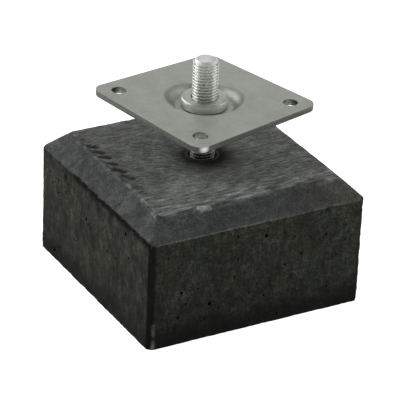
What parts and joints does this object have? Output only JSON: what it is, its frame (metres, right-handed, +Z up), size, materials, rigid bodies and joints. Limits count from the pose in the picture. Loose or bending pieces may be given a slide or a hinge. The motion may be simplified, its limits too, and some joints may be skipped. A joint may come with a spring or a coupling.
{
  "type": "concrete footing",
  "caption": "Small cast concrete footing block with a threaded rod and a square post plate that screws up and down to set the height.",
  "frame": {"origin": "centre of the block's underside, on the ground", "axes": "+Z up along the threaded rod; X and Y along the block's sides; the trowel marks on its top run along X"},
  "size_m": [0.15, 0.15, 0.1493],
  "materials": {
    "concrete": "anthracite cast concrete, trowelled top, mould-smooth sides with small air pores",
    "sleeve_steel": "dull dark steel rim, set flush in the concrete",
    "bright_zinc": "bright zinc-plated thread",
    "plate_steel": "satin mill-grey pressed steel with a slight green cast",
    "collar_steel": "turned steel with a bright chamfer"
  },
  "bodies": {
    "footing": {"concrete_block": "concrete", "threaded_socket": "sleeve_steel", "threaded_rod": "bright_zinc"},
    "collar": {"threaded_collar": "collar_steel"},
    "plate": {"mounting_plate": "plate_steel"}
  },
  "joints": [
    {"name": "plate_height", "type": "slide", "parent": "footing", "child": "collar", "axis": [0, 0, 1], "range_m": [-0.029, 0.024]},
    {"name": "plate_turn", "type": "hinge", "parent": "collar", "child": "plate", "pos_m": [0, 0, 0.1176], "axis": [0, 0, 1], "range_deg": [-5220, 4320]}
  ],
  "couplings": [
    {"joint": "plate_height", "follows": "plate_turn", "m_per_rad": 0.0003183}
  ]
}
